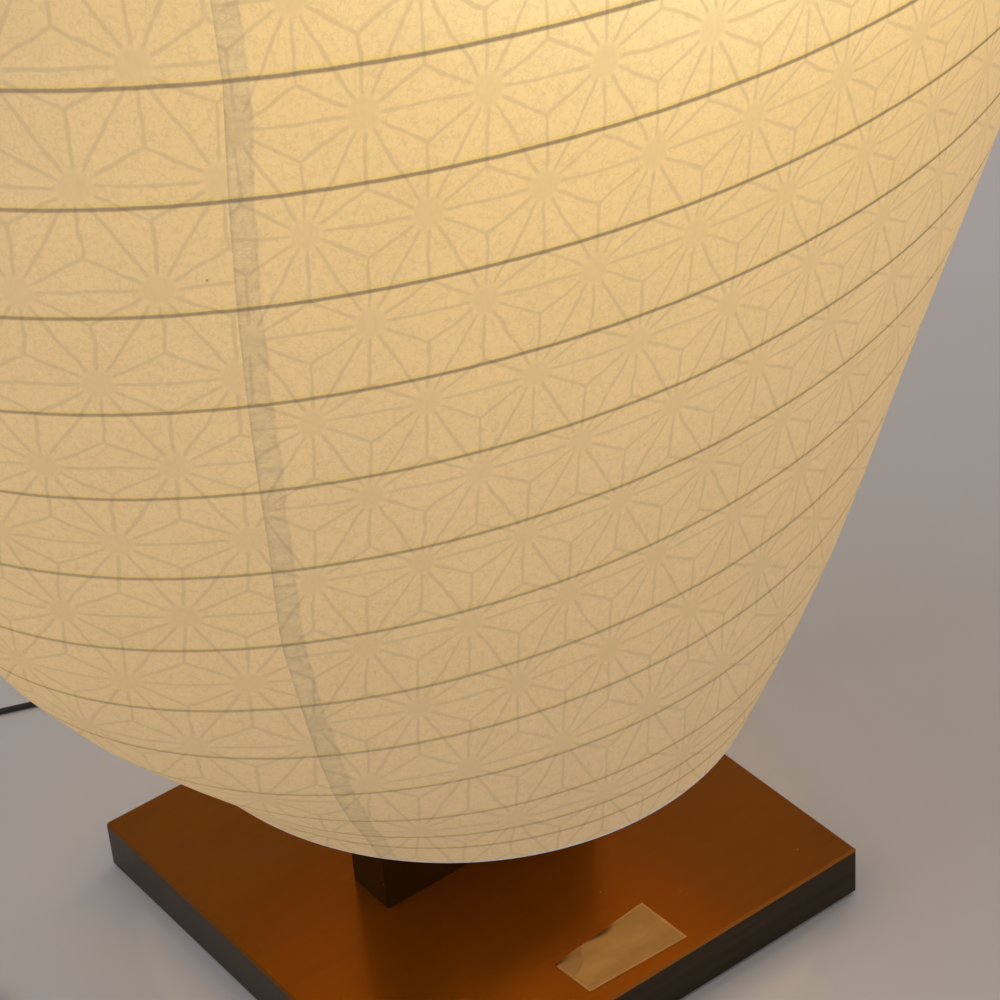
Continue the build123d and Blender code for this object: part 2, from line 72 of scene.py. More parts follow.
class Shader:
    """A small builder for node materials: sockets go in, sockets come out."""

    def __init__(self, name):
        self.mat = bpy.data.materials.new(name)
        self.mat.use_nodes = True
        self.tree = self.mat.node_tree
        self.tree.nodes.clear()
        self.out = self.tree.nodes.new("ShaderNodeOutputMaterial")
        self.place = self.node("ShaderNodeTexCoord").outputs["Object"]

    def node(self, kind, settings=(), **inputs):
        made = self.tree.nodes.new(kind)
        for key, value in dict(settings).items():
            setattr(made, key, value)
        for key, value in inputs.items():
            self.feed(made.inputs[key.replace("_", " ")], value)
        return made

    def feed(self, socket, value):
        if isinstance(value, bpy.types.NodeSocket):
            self.tree.links.new(value, socket)
        else:
            socket.default_value = value

    def math(self, operation, first, *others):
        """One operation on a single value, or in turn on several."""
        result = first
        for other in others or (None,):
            made = self.tree.nodes.new("ShaderNodeMath")
            made.operation = operation
            self.feed(made.inputs[0], result)
            if other is not None:
                self.feed(made.inputs[1], other)
            result = made.outputs[0]
        return result

    def times(self, *values):
        return self.math("MULTIPLY", *values)

    def plus(self, *values):
        return self.math("ADD", *values)

    def minus(self, first, *others):
        return self.math("SUBTRACT", first, *others)

    def without(self, share, amount=1.0):
        """What is left of one when a share of an amount is taken away."""
        return self.minus(1.0, self.times(share, amount))

    def height(self):
        return self.node("ShaderNodeSeparateXYZ", Vector=self.place).outputs["Z"]

    def mapped(self, kind, value, low, high, to_low, to_high):
        made = self.node("ShaderNodeMapRange", {"interpolation_type": kind})
        for key, number in (("From Min", low), ("From Max", high), ("To Min", to_low), ("To Max", to_high)):
            made.inputs[key].default_value = number
        self.feed(made.inputs["Value"], value)
        return made.outputs["Result"]

    def step(self, value, low, high, to_low=0.0, to_high=1.0):
        """A smooth, clamped ramp of value."""
        return self.mapped("SMOOTHSTEP", value, low, high, to_low, to_high)

    def ramp(self, value, low, high, to_low, to_high):
        """A straight, clamped ramp of value."""
        return self.mapped("LINEAR", value, low, high, to_low, to_high)

    def band(self, value, start, full_from, full_to, end):
        """One between full_from and full_to, and nothing before start or after end."""
        return self.times(self.step(value, start, full_from), self.step(value, end, full_to))

    def mix(self, share, first, second):
        made = self.tree.nodes.new("ShaderNodeMix")
        made.data_type = "RGBA"
        for place, value in ((0, share), (6, first), (7, second)):
            self.feed(made.inputs[place], value)
        return made.outputs[2]

    def stain(self, base, mask, share, colour):
        """A colour laid over a base colour where a mask is, up to a share."""
        return self.mix(self.times(mask, share), base, colour)

    def noise(self, scale, detail=3.0, rough=0.5, stretch=None, out="Fac"):
        spot = self.place
        if stretch:
            mapping = self.node("ShaderNodeMapping", Vector=spot)
            mapping.inputs["Scale"].default_value = stretch
            spot = mapping.outputs[0]
        made = self.node("ShaderNodeTexNoise", Vector=spot)
        made.inputs["Scale"].default_value = scale
        made.inputs["Detail"].default_value = detail
        made.inputs["Roughness"].default_value = rough
        return made.outputs[out]

    def waver(self, reach, scale, detail=3.0, rough=0.5):
        """A noise that swings as far as reach to either side of nothing."""
        return self.ramp(self.noise(scale, detail, rough), 0.3, 0.7, -reach, reach)

    def specks(self, scale, far, near):
        """Round specks round scattered points, fading from near to far."""
        made = self.node("ShaderNodeTexVoronoi", Vector=self.place)
        made.inputs["Scale"].default_value = scale
        return self.step(made.outputs["Distance"], far, near)

    def bump(self, height, distance):
        made = self.node("ShaderNodeBump", Height=height)
        made.inputs["Distance"].default_value = distance
        return made.outputs[0]

    def attribute(self, name):
        return self.node("ShaderNodeAttribute", {"attribute_name": name}).outputs["Fac"]

    def surface(self, **inputs):
        made = self.node("ShaderNodeBsdfPrincipled", **inputs)
        self.feed(self.out.inputs["Surface"], made.outputs[0])
        return made

    def combine(self, kind, *inputs):
        """A mix or a sum of shaders as the material's surface."""
        made = self.tree.nodes.new(kind)
        for socket, value in zip(made.inputs, inputs):
            self.feed(socket, value)
        self.feed(self.out.inputs["Surface"], made.outputs[0])


def rgb(*values):
    return (*values, 1.0)


def plain(name, colour, rough, metal=0.0, vary=0.12, grain=400.0, height=0.00004):
    """A material with fine colour, roughness and surface variation at a stated scale."""
    s = Shader(name)
    rough_spread = 0.08
    smoothest = 0.02
    cloud = s.noise(grain * 0.12, 3.0)
    fine = s.noise(grain, 4.0, 0.6)
    dark = rgb(*[c * (1 - vary) for c in colour])
    light = rgb(*[min(1.0, c * (1 + vary)) for c in colour])
    tone = s.mix(s.step(cloud, 0.3, 0.7), dark, light)
    roughness = s.ramp(fine, 0.3, 0.7, max(smoothest, rough - rough_spread), rough + rough_spread)
    s.surface(Base_Color=tone, Roughness=roughness, Metallic=metal, Normal=s.bump(fine, height))
    return s.mat


def lacquer_material():
    """Translucent lacquered finish over dark wood: nearly black edges, and a satin top whose amber, partly
    metallic tint is partly the finish's own colour and partly painted reflection of the glowing shade.
    """
    s = Shader("lacquer")
    amber = rgb(0.246, 0.070, 0.0012)
    amber_streak = rgb(0.266, 0.078, 0.0015)
    amber_cloud = rgb(0.290, 0.084, 0.0018)
    edge_dark = rgb(0.028, 0.017, 0.006)
    edge_light = rgb(0.042, 0.026, 0.011)
    slab_side = rgb(0.037, 0.014, 0.0020)
    dust_colour = rgb(0.35, 0.28, 0.22)
    board_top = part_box("base_board")[1].z

    grain = s.step(s.noise(60.0, 5.0, 0.6, stretch=(0.35, 4.0, 4.0)), 0.3, 0.72)
    normal = s.node("ShaderNodeNewGeometry").outputs["Normal"]
    # painted reflection: upward faces get the amber tint and most of the metal sheen, so that they reflect
    # the glowing shade in amber; side faces keep the nearly black tone
    flat = s.step(s.node("ShaderNodeSeparateXYZ", Vector=normal).outputs["Z"], 0.35, 0.85)
    top = s.mix(grain, amber, amber_streak)
    top = s.stain(top, s.step(s.noise(9.0, 3.0), 0.35, 0.75), 0.35, amber_cloud)
    edge = s.mix(grain, edge_dark, edge_light)
    edge = s.mix(s.step(s.height(), board_top + 0.0001, board_top + 0.0009), edge, slab_side)
    dust = s.times(s.specks(210.0, 0.10, 0.05), s.step(s.noise(95.0, 1.0), 0.66, 0.70))
    tone = s.stain(s.mix(flat, edge, top), dust, 0.35, dust_colour)
    rough = s.plus(s.ramp(s.noise(30.0, 4.0, 0.6), 0.3, 0.75, 0.20, 0.27), s.times(dust, 0.2))
    ripple = s.bump(s.noise(900.0, 3.0, 0.6), 0.00002)
    # the metal share on the upward faces is part of the painted amber reflection
    made = s.surface(Base_Color=tone, Roughness=rough, Metallic=s.times(flat, 0.62), Normal=ripple)
    made.inputs["Specular IOR Level"].default_value = 0.15
    return s.mat


def hemp_leaf(s):
    """The print's inked lines and the plain discs at its star centres, as masks.

    The star centres are a triangular lattice, one unit apart, folded here into a single triangle.
    """
    sway = s.node("ShaderNodeSeparateColor", Color=s.noise(70.0, 2.0, out="Color"))
    column, row = [
        s.plus(s.attribute(name), s.ramp(channel, 0.2, 0.8, -0.022, 0.022))
        for name, channel in zip(("star_u", "star_v"), sway.outputs)
    ]
    first = s.math("FRACT", s.minus(column, s.times(row, 0.5)))
    second = s.math("FRACT", row)
    past = s.math("GREATER_THAN", s.plus(first, second), 1.0)
    keep = s.without(past, 2.0)
    first = s.plus(past, s.times(keep, first))
    second = s.plus(past, s.times(keep, second))
    third = s.minus(1.0, first, second)
    least = s.math("MINIMUM", first, second, third)
    most = s.math("MAXIMUM", first, second, third)
    middle = s.minus(1.0, least, most)

    to_edge = s.times(least, math.sin(math.radians(60)))
    to_spoke = s.times(s.minus(middle, least), 0.5)
    worn = s.waver(0.006, 260.0, 3.0, 0.6)
    ink = s.step(s.plus(s.math("MINIMUM", to_edge, to_spoke), worn), 0.023, 0.007)
    squares = s.plus(s.times(least, least), s.times(middle, middle), s.times(least, middle))
    to_centre = s.math("SQRT", squares)
    disc = s.step(to_centre, 0.145, 0.100)
    printed = s.math("MAXIMUM", s.times(ink, s.step(to_centre, 0.10, 0.17)), s.times(disc, 0.40))
    return printed, s.minus(1.0, s.math("MAXIMUM", ink, disc))


def washi_material():
    """Printed washi lit from within: hemp-leaf lines, plain star centres, fibres, painted shadows of the ribs
    and a lap seam.

    The mesh carries, for each vertex: glow (light from the bulb), star_u and star_v (the print's
    columns and rows), rib (signed metres from the nearest hoop), clear (unsigned, capped), lap
    (metres from the gore's own glued edge) and foot (metres up from the mouth, capped).
    """
    s = Shader("washi")
    dim = rgb(1.0, 0.635, 0.275)
    warm = rgb(1.0, 0.648, 0.235)
    bright = rgb(1.0, 0.72, 0.30)
    lapped_tint = rgb(0.96, 0.66, 0.29)
    ink_tint = rgb(0.97, 0.64, 0.26)
    gold_tint = rgb(0.95, 0.61, 0.10)
    hoop_shadow = rgb(0.17, 0.085, 0.018)
    cut_edge = rgb(0.80, 0.79, 0.86)
    speck_colour = rgb(0.25, 0.14, 0.05)
    bark_colour = rgb(0.85, 0.52, 0.10)
    room_light = rgb(0.30, 0.27, 0.22)
    glow = s.attribute("glow")
    printed, leaf = hemp_leaf(s)

    # wrinkled veins and fibres show in the leaves, and less in the plain print
    fold_a = s.math("ABSOLUTE", s.minus(s.noise(230.0, 2.0, 0.55), 0.5))
    fold_b = s.math("ABSOLUTE", s.minus(s.noise(370.0, 2.0, 0.6, stretch=(1.0, 1.2, 0.7)), 0.5))
    web = s.step(s.math("MINIMUM", fold_a, s.times(fold_b, 1.3)), 0.0, 0.035)
    mottle = s.times(s.ramp(web, 0.0, 1.0, -0.085, 0.045), leaf)
    fibre = s.noise(900.0, 3.0, 0.7, stretch=(1.0, 1.0, 0.35))
    uneven = s.plus(s.ramp(fibre, 0.3, 0.7, -0.045, 0.045), s.waver(0.025, 28.0, 4.0, 0.55))
    light = s.times(s.plus(1.0, mottle, uneven), s.without(printed, 0.155))

    # the gore's glued edge laps over its neighbour: two layers, wrinkled
    lap = s.attribute("lap")
    on_gore = s.step(lap, -0.0001, 0.0001)
    double = s.times(on_gore, s.step(s.plus(lap, s.waver(0.0007, 90.0)), 0.0075, 0.0065))
    crumple = s.noise(150.0, 4.0, 0.7, stretch=(1.0, 1.0, 2.2))
    thick_edge = s.plus(s.step(lap, 0.0022, 0.0004), s.step(lap, 0.0052, 0.0066))
    darker = s.times(double, s.plus(s.ramp(crumple, 0.3, 0.7, 0.27, 0.03), s.times(thick_edge, 0.05)))
    rim = s.times(s.step(lap, 0.0009, 0.0002), on_gore)
    light = s.times(light, s.minus(1.0, darker), s.without(rim, 0.12))

    # painted shadow: each hoop shows through the lit paper as a dark line, with a thin golden band just above
    # it
    near = s.step(s.attribute("clear"), 0.0029, 0.0025)
    off = s.plus(s.attribute("rib"), s.waver(0.0001, 120.0, 2.0))
    hoop = s.times(s.band(off, -0.0013, -0.0004, 0.0002, 0.0009), near, s.ramp(glow, 0.40, 0.62, 0.60, 0.92))
    gold = s.times(s.band(off, 0.0003, 0.0009, 0.0011, 0.0021), near)

    paper = s.mix(s.ramp(glow, 0.40, 0.72, 0.0, 1.0), dim, warm)
    paper = s.mix(s.step(glow, 0.74, 0.94), paper, bright)
    paper = s.stain(paper, double, 0.5, lapped_tint)
    paper = s.stain(paper, printed, 0.5, ink_tint)
    paper = s.stain(paper, gold, 0.65, gold_tint)
    paper = s.stain(paper, hoop, 0.84, hoop_shadow)

    # a few dark specks and golden bark fibres
    specks = s.times(s.specks(75.0, 0.045, 0.02), s.step(s.noise(37.0, 0.0), 0.645, 0.655))
    paper = s.stain(paper, specks, 0.75, speck_colour)
    bark = s.math("ABSOLUTE", s.minus(s.noise(34.0, 1.0, stretch=(1.0, 1.0, 4.0)), 0.5))
    strand = s.times(s.step(bark, 0.0016, 0.0006), s.step(s.noise(21.0, 0.0), 0.66, 0.70))
    paper = s.stain(paper, strand, 0.6, bark_colour)

    # the cut edge round the mouth catches the room's light
    foot = s.plus(s.attribute("foot"), s.waver(0.0004, 160.0, 2.0))
    paper = s.mix(s.step(foot, 0.0013, 0.0006), paper, cut_edge)

    body = s.node("ShaderNodeBsdfDiffuse", Color=room_light, Normal=s.bump(s.plus(fibre, crumple), 0.0002))
    lit = s.node("ShaderNodeEmission", Color=paper, Strength=s.times(glow, light))
    s.combine("ShaderNodeAddShader", body.outputs[0], lit.outputs[0])
    return s.mat


def bamboo_material():
    """Split bamboo: long pale and brown fibres, with darker nodes."""
    s = Shader("bamboo")
    brown = rgb(0.26, 0.15, 0.06)
    pale = rgb(0.46, 0.31, 0.15)
    node_brown = rgb(0.16, 0.09, 0.04)
    streak = s.noise(240.0, 4.0, 0.6, stretch=(0.15, 0.15, 3.0))
    tone = s.mix(s.step(streak, 0.3, 0.7), brown, pale)
    tone = s.stain(tone, s.step(s.noise(14.0, 0.0), 0.62, 0.70), 0.5, node_brown)
    s.surface(Base_Color=tone, Roughness=s.ramp(streak, 0.3, 0.7, 0.4, 0.62), Normal=s.bump(streak, 0.00008))
    return s.mat


def globe_material():
    """Opal plastic, lit from within and a little dimmer near its foot."""
    s = Shader("bulb_globe_lit")
    low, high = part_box("bulb_globe")
    uneven = s.ramp(s.noise(60.0, 2.0), 0.3, 0.7, 0.97, 1.03)
    level = s.times(s.step(s.height(), low.z, high.z, 2.6, 3.8), uneven)
    made = s.surface(Base_Color=rgb(0.9, 0.88, 0.82), Roughness=0.35, Emission_Strength=level)
    made.inputs["Emission Color"].default_value = rgb(1.0, 0.80, 0.52)
    return s.mat


def film_material():
    """A clear blank film, stuck down a little unevenly: the board shows through its soft reflections.

    The mesh carries border, the metres from the film's nearest edge.
    """
    s = Shader("clear_film")
    waves = s.noise(38.0, 2.0, stretch=(0.35, 1.6, 1.0))
    tilt = s.bump(waves, 0.0005)
    clear = s.node("ShaderNodeBsdfTransparent", Color=rgb(0.97, 0.94, 0.93))
    roughness = s.ramp(waves, 0.3, 0.7, 0.08, 0.14)
    gloss = s.node("ShaderNodeBsdfGlossy", Color=rgb(1.0, 0.78, 0.48), Roughness=roughness, Normal=tilt)
    fresnel = s.node("ShaderNodeFresnel", IOR=1.5, Normal=tilt).outputs[0]
    rim = s.times(s.step(s.attribute("border"), 0.0011, 0.0004), 0.10)
    share = s.plus(s.times(fresnel, 1.2), rim, 0.25)
    s.combine("ShaderNodeMixShader", share, clear.outputs[0], gloss.outputs[0])
    return s.mat


lacquer = lacquer_material()
washi = washi_material()
bamboo = bamboo_material()
globe_lit = globe_material()
film = film_material()
felt = plain("felt", (0.12, 0.10, 0.09), 0.9, vary=0.3, grain=1500.0, height=0.0002)
steel = plain("zinc_steel", (0.60, 0.60, 0.58), 0.38, metal=1.0, grain=700.0)
white_steel = plain("white_enamel", (0.80, 0.77, 0.71), 0.42, vary=0.04, grain=500.0, height=0.00003)
brass = plain("brass", (0.72, 0.52, 0.23), 0.26, metal=1.0, vary=0.1, grain=600.0)
bakelite = plain("bakelite", (0.045, 0.04, 0.037), 0.36, vary=0.15, grain=900.0, height=0.00003)
bulb_metal = plain("bulb_aluminium", (0.75, 0.75, 0.76), 0.3, metal=1.0, vary=0.05, grain=500.0)
bulb_plastic = plain("bulb_plastic", (0.88, 0.87, 0.84), 0.4, vary=0.03, grain=500.0)
cord_skin = plain("cord_vinyl", (0.018, 0.016, 0.016), 0.38, vary=0.2, grain=1200.0, height=0.00004)
rubber = plain("rubber", (0.022, 0.021, 0.021), 0.55, vary=0.2, grain=1200.0, height=0.00005)
black_plastic = plain("black_plastic", (0.026, 0.024, 0.024), 0.32, vary=0.12, grain=2600.0, height=0.00005)
plated = plain("plated_brass", (0.78, 0.74, 0.60), 0.24, metal=1.0, vary=0.06, grain=500.0)

# ---- Pieces ----


def put(piece, body, material, replaced=()):
    """Give a finished piece its material and body, and hide the CAD nodes that it replaces."""
    piece.data.materials.clear()
    piece.data.materials.append(material)
    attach(piece, body)
    if replaced:
        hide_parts(*replaced)
    return piece


def piece_from(name, points, faces):
    """A smooth-shaded object from points and faces, with its faces all turned the same way."""
    mesh = bpy.data.meshes.new(name)
    mesh.from_pydata([tuple(p) for p in points], [], faces)
    mesh.validate()
    grown = bmesh.new()
    grown.from_mesh(mesh)
    bmesh.ops.recalc_face_normals(grown, faces=grown.faces)
    grown.to_mesh(mesh)
    grown.free()
    mesh.polygons.foreach_set("use_smooth", [True] * len(mesh.polygons))
    made = bpy.data.objects.new(name, mesh)
    scene.collection.objects.link(made)
    return made


def sharpen(piece, degrees=35.0):
    """Keep real corners crisp on a smooth-shaded piece."""
    grown = bmesh.new()
    grown.from_mesh(piece.data)
    for edge in grown.edges:
        if len(edge.link_faces) == 2 and edge.calc_face_angle() > math.radians(degrees):
            edge.smooth = False
    grown.to_mesh(piece.data)
    grown.free()
    return piece


def angles(count):
    """Even angles once round a circle."""
    return [2 * math.pi * k / count for k in range(count)]


def skin(loops, size, closed=True, ring=False):
    """Faces between successive loops of points.

    closed joins the two ends of every loop, and ring joins the last loop to the first.
    """
    faces = []
    for loop in range(loops if ring else loops - 1):
        here = loop * size
        there = (loop + 1) % loops * size
        for k in range(size if closed else size - 1):
            after = (k + 1) % size
            faces.append((here + k, here + after, there + after, there + k))
    return faces


def caps(loops, size):
    """The two end faces of a closed skin."""
    return [tuple(range(size)), tuple(range((loops - 1) * size, loops * size))]


def joined(name, parts):
    """One piece from several sets of points and faces."""
    points = []
    faces = []
    for some, these in parts:
        faces += [tuple(i + len(points) for i in face) for face in these]
        points += some
    return piece_from(name, points, faces)


def lathe(name, profile, around=64, place=None):
    """A turned piece from (radius, height) corners. A profile that leaves the axis at both ends is a ring."""
    on_axis = 1e-6
    points = []
    loops = []
    for radius, height in profile:
        if radius < on_axis:
            loops.append([len(points)])
            points.append(Vector((0.0, 0.0, height)))
            continue
        loops.append(range(len(points), len(points) + around))
        points += [Vector((radius * math.cos(t), radius * math.sin(t), height)) for t in angles(around)]
    pairs = list(zip(loops, loops[1:]))
    if len(loops[0]) > 1:
        pairs.append((loops[-1], loops[0]))
    faces = []
    for low, high in pairs:
        for count in range(around):
            after = (count + 1) % around
            if len(low) == 1:
                faces.append((low[0], high[after], high[count]))
            elif len(high) == 1:
                faces.append((low[count], low[after], high[0]))
            else:
                faces.append((low[count], low[after], high[after], high[count]))
    if place is not None:
        points = [place @ p for p in points]
    return sharpen(piece_from(name, points, faces))


def rounded(corners, radius, steps=3, closed=False):
    """The profile with its corners rounded off; an open profile keeps its two ends."""
    longest_cut = 0.45
    done = []
    last = len(corners) - 1
    for count, here in enumerate(corners):
        if not closed and count in (0, last):
            done.append(here)
            continue
        p = Vector(here)
        back = Vector(corners[count - 1]) - p
        ahead = Vector(corners[(count + 1) % len(corners)]) - p
        cut = min(radius, back.length * longest_cut, ahead.length * longest_cut)
        start = p + back.normalized() * cut
        end = p + ahead.normalized() * cut
        for k in range(steps + 1):
            t = k / steps
            q = start * (1 - t) ** 2 + p * 2 * t * (1 - t) + end * t * t
            done.append((q.x, q.y))
    return done


def bar(low, high, ease=0.0004):
    """A straight bar with eased edges, as points and faces."""
    grown = bmesh.new()
    bmesh.ops.create_cube(grown, size=1.0)
    for v in grown.verts:
        v.co = Vector([(l + h) / 2 + c * (h - l) for l, h, c in zip(low, high, v.co)])
    bmesh.ops.bevel(grown, geom=list(grown.edges), offset=ease, segments=2, affect="EDGES", profile=0.6)
    grown.verts.index_update()
    points = [v.co.copy() for v in grown.verts]
    faces = [tuple(v.index for v in f.verts) for f in grown.faces]
    grown.free()
    return points, faces


# ---- Shade: the oval and its hoops ----

hoop_lift = 0.0005
paper_thick = 0.0006

# every hoop of the CAD has vertices at three heights, and the middle one is the hoop's own
heights = {}
for vertex in nodes_of["shade_ribs"].data.vertices:
    heights.setdefault(round(vertex.co.z, 5), []).append(vertex.co)
hoops = []
for z in sorted(heights)[1::3]:
    half_width = max(abs(p.x) for p in heights[z]) + hoop_lift
    half_depth = max(abs(p.y) for p in heights[z]) + hoop_lift
    hoops.append((half_width, half_depth, z))
mouth_low, mouth_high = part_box("mouth_ring")
crown_low, crown_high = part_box("top_ring")
mouth = (mouth_high.x + paper_thick, mouth_high.y + paper_thick, mouth_low.z)
crown = (crown_high.x + paper_thick, crown_high.y + paper_thick, crown_high.z)
rims = [mouth, *hoops, crown]

bulge_reach = 0.0045
bulge_middle = 0.215
bulge_half_height = 0.085

seam_degrees = (-141.2, -21.2, 98.8)
lean_degrees = 6.1
lean_start = 0.25
lean_height = 0.22


def spot_on(a, b, z, t):
    """The point at the oval's angle t; the hand-made hoops bulge a little low down on the left."""
    bulge = bulge_reach * max(0.0, 1 - ((z - bulge_middle) / bulge_half_height) ** 2)
    return Vector((a * math.cos(t) - bulge * max(0.0, -math.cos(t)) ** 2, b * math.sin(t), z))


def seam_bearing(which, z):
    """Where a gore's glued edge runs: straight up from the mouth, then leaning a little to the crown."""
    lean = min(1.0, max(0.0, (z - lean_start) / lean_height))
    return math.radians(seam_degrees[which] + lean_degrees * lean)


def turn_on(bearing, a, b):
    """The oval's own angle for a bearing seen from its middle."""
    return math.atan2(math.sin(bearing) / b, math.cos(bearing) / a)


def arc(start, end, a, b, steps=48):
    """Signed length along the oval from one of its angles to another."""
    total = 0.0
    step = (end - start) / steps
    for k in range(steps):
        t = start + step * (k + 0.5)
        total += math.hypot(a * math.sin(t), b * math.cos(t)) * step
    return total


# ---- Shade: three gores of paper ----

# the paper's rows of vertices: at each hoop, 3 mm either side of it, and between
fold_half = 0.003
rows = []
for low, high in zip(rims, rims[1:]):
    fold = fold_half / math.hypot(high[2] - low[2], high[0] - low[0])
    above = [(share, fold_half) for share in (fold, 0.35)]
    below = [(share, -fold_half) for share in (0.65, 1 - fold)]
    for share, rib in ((0.0, 0.0), *above, *below):
        at = [p + (q - p) * share for p, q in zip(low, high)]
        rows.append((*at, rib))
rows.append((*crown, 0.0))


def climbs(bearing):
    """Distance up the paper from its lowest edge at one bearing, for every row."""
    total = 0.0
    found = []
    before = None
    for a, b, z, _ in rows:
        reach = 1 / math.hypot(math.cos(bearing) / a, math.sin(bearing) / b)
        if before:
            total += math.hypot(reach - before[0], z - before[1])
        before = (reach, z)
        found.append(total)
    return found


def light_at(p):
    """How brightly the paper glows: most at the bulb's height, and on the near sides of the oval."""
    brightest_z = 0.485
    dimmest_z = 0.110
    rise = 0.365
    dimmest = 0.370
    gain = 0.295
    side_gain = 0.535
    end_loss = 0.235
    up = (brightest_z - abs(p.z - brightest_z) - dimmest_z) / rise
    near = p.y ** 2 / (p.x ** 2 + p.y ** 2)
    return dimmest + gain * up + (side_gain * near - end_loss) * up ** 4


def line_angle(which, line, a, b, start, end):
    """The oval's angle where a gore's print is set out from, counted on the same turn as the gore."""
    line_at = turn_on(line, a, b)
    while line_at < start - math.pi:
        line_at += 2 * math.pi
    while line_at > end + math.pi / 2:
        line_at -= 2 * math.pi
    if which == 2 and line_at < start:
        line_at += 2 * math.pi
    return line_at


def paper_gore(which, line, spacing, pitch, phase_u, phase_v):
    """One gore of printed paper, with the values that its material reads at every vertex."""
    across = 84
    foot_cap = 0.004
    up_line = climbs(line)
    points = []
    data = {name: [] for name in ("glow", "star_u", "star_v", "rib", "clear", "lap", "foot")}
    for climb, (a, b, z, rib) in zip(up_line, rows):
        start = turn_on(seam_bearing(which, z), a, b)
        end = turn_on(seam_bearing((which + 1) % 3, z), a, b)
        while end < start:
            end += 2 * math.pi
        from_line = arc(line_angle(which, line, a, b, start, end), start, a, b)
        along = 0.0
        before = start
        for c in range(across + 1):
            t = start + (end - start) * c / across
            along += arc(before, t, a, b, 2)
            before = t
            points.append(spot_on(a, b, z, t))
            data["glow"].append(light_at(points[-1]))
            data["star_u"].append((from_line + along) / spacing + phase_u)
            data["star_v"].append(climb / pitch + phase_v)
            data["rib"].append(rib)
            data["clear"].append(abs(rib))
            data["lap"].append(along)
            data["foot"].append(min(climb, foot_cap))
    gore = piece_from(f"washi_gore_{which + 1}", points, skin(len(rows), across + 1, closed=False))
    for name, values in data.items():
        gore.data.attributes.new(name, "FLOAT", "POINT").data.foreach_set("value", values)
    put(gore, "shade", washi, (f"paper_gore_{which + 1}",))


# each gore's print: the bearing it is set out from, column spacing, row pitch, and the phases of both
prints = (
    (math.radians(-108.0), 0.0325, 0.0365, 0.1177, 0.1979),
    (math.radians(42.0), 0.0355, 0.0362, 0.30, 0.60),
    (math.radians(-109.0), 0.0380, 0.0360, -0.3167, 0.4676),
)
for which, about in enumerate(prints):
    paper_gore(which, *about)

# ---- Shade: bamboo hoops, mouth ring and top ring ----


def hoop_ring(section, a, b, z, around=160):
    """A closed oval ring with a section of (outward, upward) corners, as points and faces."""
    points = []
    for t in angles(around):
        spot = spot_on(a, b, z, t)
        out = Vector((math.cos(t) / a, math.sin(t) / b, 0.0)).normalized()
        points += [spot + out * x + Vector((0, 0, y)) for x, y in section]
    return points, skin(around, len(section), ring=True)


def round_ring(outer, inner, low, high, around=48):
    """A flat round ring with eased edges, as points and faces."""
    section = rounded([(outer, low), (outer, high), (inner, high), (inner, low)], 0.0004, 2, True)
    points = []
    for t in angles(around):
        points += [Vector((r * math.cos(t), r * math.sin(t), z)) for r, z in section]
    return points, skin(around, len(section), ring=True)


# each hoop is a split half round, its flat side inwards
half_round = [
    (-0.0020, -0.0006), (-0.0011, -0.0007), (-0.0007, -0.0003),
    (-0.0007, 0.0003), (-0.0011, 0.0007), (-0.0020, 0.0006),
]
ribs = joined("bamboo_hoops", [hoop_ring(half_round, *hoop) for hoop in hoops])
put(ribs, "shade", bamboo, ("shade_ribs",))

ring_section = rounded([(-0.0006, 0.0), (-0.0006, 0.003), (-0.0030, 0.003), (-0.0030, 0.0)], 0.0006, 2, True)
mouth_hoop = joined("mouth_hoop", [hoop_ring(ring_section, *mouth)])
put(mouth_hoop, "shade", bamboo, ("mouth_ring",))

hub_low = crown_low.z
hub_high = hub_low + 0.002
hub_radius = 0.012
hub_hole = 0.0033
arm_half = 0.0035
arm_root = 0.0095
arm_end_x = crown[0] - 0.0018
arm_end_y = crown[1] - 0.0018
arms = [
    bar((arm_root, -arm_half, hub_low), (arm_end_x, arm_half, hub_high)),
    bar((-arm_end_x, -arm_half, hub_low), (-arm_root, arm_half, hub_high)),
    bar((-arm_half, arm_root, hub_low), (arm_half, arm_end_y, hub_high)),
    bar((-arm_half, -arm_end_y, hub_low), (arm_half, -arm_root, hub_high)),
]
crown_ring = hoop_ring(ring_section, crown[0], crown[1], hub_high)
hub = round_ring(hub_radius, hub_hole, hub_low, hub_high)
spider = joined("crown_ring_and_arms", [crown_ring, hub, *arms])
put(sharpen(spider), "shade", white_steel, ("top_ring",))

# ---- Finial, stud and harp ----

low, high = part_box("finial")
finial_shares = [
    (0.80, 0.0), (0.80, 0.14), (0.52, 0.24), (0.50, 0.30), (0.78, 0.40), (0.95, 0.52),
    (1.0, 0.64), (0.95, 0.76), (0.78, 0.89), (0.45, 0.975), (0.2, 1.0), (0.0, 1.0),
]
shape = [(0.0, low.z), (0.0031, low.z)]
shape += [(x * high.x, low.z + y * (high.z - low.z)) for x, y in finial_shares]
put(lathe("turned_finial", shape, around=72), "finial", brass, ("finial",))

low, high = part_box("harp_stud")
stud_radius = 0.003
thread_depth = 0.0002
thread_step = 0.0007
thread_corners = 14
stud = [(0.0, low.z), (0.006, low.z), (0.006, hub_low), (stud_radius, hub_low)]
for k in range(thread_corners):
    stud.append((stud_radius - thread_depth * (k % 2), hub_high + thread_step * k))
stud += [(0.0026, high.z), (0.0, high.z)]
put(lathe("threaded_stud", stud, around=48), "base", brass, ("harp_stud",))


